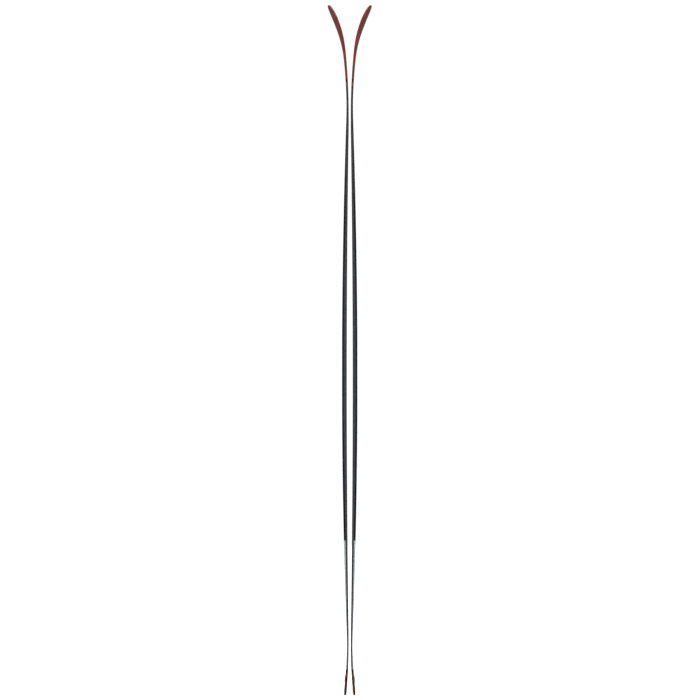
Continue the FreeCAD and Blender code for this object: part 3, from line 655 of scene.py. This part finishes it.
# ---------------------------------------------------------------- clip plates and rivets
# A small anodised plate on each tail, with a slot for the clip of a climbing skin and round
# corners, held down on the topsheet by two domed rivets.
plate_finish, shader = new_material("satin anodised plate")
brushed = add(plate_finish.node_tree, "ShaderNodeTexNoise", Scale=1, Detail=3)
place = add(plate_finish.node_tree, "ShaderNodeTexCoord")
squeeze = add(plate_finish.node_tree, "ShaderNodeMapping", Vector=place.outputs["Object"])
squeeze.inputs["Scale"].default_value = (4000, 60, 4000)
plate_finish.node_tree.links.new(squeeze.outputs[0], brushed.inputs["Vector"])
join(plate_finish, blend(plate_finish, brushed.outputs[0], tint("#8f9295"), tint("#c2c5c8")), shader,
     "Base Color")
join(plate_finish, ramp(plate_finish, brushed.outputs[0], 0.28, 0.42), shader, "Roughness")
shader.inputs["Metallic"].default_value = 1.0
bumped(plate_finish, brushed.outputs[0], shader, 0.2, 0.00003)


def rounded(half_y, half_z, radius, count=64):
    """Points round a rectangle with round corners, at even turns."""
    points = []
    for k in range(count):
        turn = 2 * math.pi * (k + 0.5) / count
        c, s = math.cos(turn), math.sin(turn)
        points.append((math.copysign(half_y - radius, c) + radius * c,
                       math.copysign(half_z - radius, s) + radius * s))
    return points


plate_centre = 35.5
plate_face = 1.65
for ski, facing in SKIS:
    shape = bmesh.new()
    loops = []
    for half_y, half_z, radius, lift in (
            (13, 7.5, 2.5, glue_line), (13, 7.5, 2.5, 1.3), (12.7, 7.2, 2.2, plate_face),
            (4.2, 1.9, 1.9, plate_face), (4.0, 1.7, 1.7, 1.45), (4.0, 1.7, 1.7, glue_line)):
        outline = [(y, plate_centre + z) for y, z in rounded(half_y, half_z, radius)]
        loops.append([shape.verts.new((facing * (down(0)(z) + lift) / 1000, y / 1000, z / 1000))
                      for y, z in outline])
    for first, second in zip(loops, loops[1:] + loops[:1]):
        for k in range(len(first)):
            n = (k + 1) % len(first)
            shape.faces.new((first[k], first[n], second[n], second[k]))
    plate = finish_mesh(shape, f"{ski}.tail_clip_plate", f"{ski}_ski", [plate_finish])
    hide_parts(f"{ski}_tail_clip_plate")

rivet_finish, shader = new_material("pressed rivet")
dull = add(rivet_finish.node_tree, "ShaderNodeTexNoise", Scale=900, Detail=4)
place = add(rivet_finish.node_tree, "ShaderNodeTexCoord")
rivet_finish.node_tree.links.new(place.outputs["Object"], dull.inputs["Vector"])
join(rivet_finish, blend(rivet_finish, dull.outputs[0], tint("#85888b"), tint("#b9bcbf")), shader,
     "Base Color")
join(rivet_finish, ramp(rivet_finish, dull.outputs[0], 0.25, 0.4), shader, "Roughness")
shader.inputs["Metallic"].default_value = 1.0

around = 32
for ski, facing in SKIS:
    shape = bmesh.new()
    foot = down(0)(plate_centre) + plate_face
    for y in (-7.5, 7.5):
        rows = []
        for radius, lift in ((2.5, 0.02), (2.5, 0.15), (2.25, 0.36), (1.7, 0.5), (0.9, 0.58)):
            rows.append([shape.verts.new((facing * (foot + lift) / 1000,
                                          (y + radius * math.cos(math.tau * k / around)) / 1000,
                                          (plate_centre + radius * math.sin(math.tau * k / around)) / 1000))
                         for k in range(around)])
        for low, high in zip(rows, rows[1:]):
            for k in range(around):
                n = (k + 1) % around
                shape.faces.new((low[k], low[n], high[n], high[k]))
        shape.faces.new(rows[0])
        shape.faces.new(rows[-1])
    heads = finish_mesh(shape, f"{ski}.clip_rivets", f"{ski}_ski", [rivet_finish])
    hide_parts(f"{ski}_clip_rivets")

# ---------------------------------------------------------------- floor, light and camera
# A seamless white studio: a pale floor just under the tails, a softbox overhead and one on each
# side of a long lens that stands level with the middle of the skis.
floor_level = -0.0005
ground = bpy.data.meshes.new("floor")
ground.from_pydata([(x, y, floor_level) for x, y in ((-3, -1.5), (3, -1.5), (3, 2.5), (-3, 2.5))], [],
                   [(0, 1, 2, 3)])
floor = bpy.data.objects.new("floor", ground)
bpy.context.collection.objects.link(floor)
paper, shader = new_material("white paper")
shader.inputs["Roughness"].default_value = 1.0
shader.inputs["Emission Color"].default_value = (1, 1, 1, 1)
seen = add(paper.node_tree, "ShaderNodeLightPath")
join(paper, ramp(paper, seen.outputs["Is Camera Ray"], 0.02, 1.0), shader, "Emission Strength")
join(paper, ramp(paper, seen.outputs["Is Camera Ray"], 0.16, 0.9), shader, "Base Color")
ground.materials.append(paper)

world = bpy.data.worlds.new("studio")
bpy.context.scene.world = world
world.use_nodes = True
sky = world.node_tree
sky.nodes.clear()
direction = add(sky, "ShaderNodeTexCoord")
axes = add(sky, "ShaderNodeSeparateXYZ", Vector=direction.outputs["Generated"])
fade = add(sky, "ShaderNodeMapRange", Value=axes.outputs["Y"])
fade.inputs["From Min"].default_value = -0.9
fade.inputs["To Min"].default_value = 0.05
fade.inputs["To Max"].default_value = 0.22
dim = add(sky, "ShaderNodeBackground", Strength=fade.outputs[0])
dim.inputs["Color"].default_value = (1, 1, 1, 1)
white = add(sky, "ShaderNodeBackground", Strength=1.05)
white.inputs["Color"].default_value = (1, 1, 1, 1)
path = add(sky, "ShaderNodeLightPath")
either = add(sky, "ShaderNodeMixShader")
sky.links.new(path.outputs["Is Camera Ray"], either.inputs[0])
sky.links.new(dim.outputs[0], either.inputs[1])
sky.links.new(white.outputs[0], either.inputs[2])
sky.links.new(either.outputs[0], add(sky, "ShaderNodeOutputWorld").inputs[0])

for name, spot, turn, size, power in (("overhead", (0, -0.3, 3.6), (0, 0, 0), 2.4, 40),
                                      ("left", (-2.3, -2.1, 1.0), (90, 0, -47), 1.3, 66),
                                      ("right", (2.3, -2.1, 1.0), (90, 0, 47), 1.3, 66)):
    light = bpy.data.lights.new(name, "AREA")
    light.shape = "SQUARE"
    light.size = size
    light.energy = power
    lamp = bpy.data.objects.new(name, light)
    lamp.location = spot
    lamp.rotation_euler = [math.radians(a) for a in turn]
    bpy.context.collection.objects.link(lamp)

lens = bpy.data.cameras.new("camera")
lens.sensor_width = 36
lens.lens = 66.24
camera = bpy.data.objects.new("camera", lens)
camera.location = (0.0007, -3.3, 0.8786)
camera.rotation_euler = (math.radians(90), 0, 0)
bpy.context.collection.objects.link(camera)
bpy.context.scene.camera = camera
bpy.context.scene.view_settings.view_transform = "Standard"
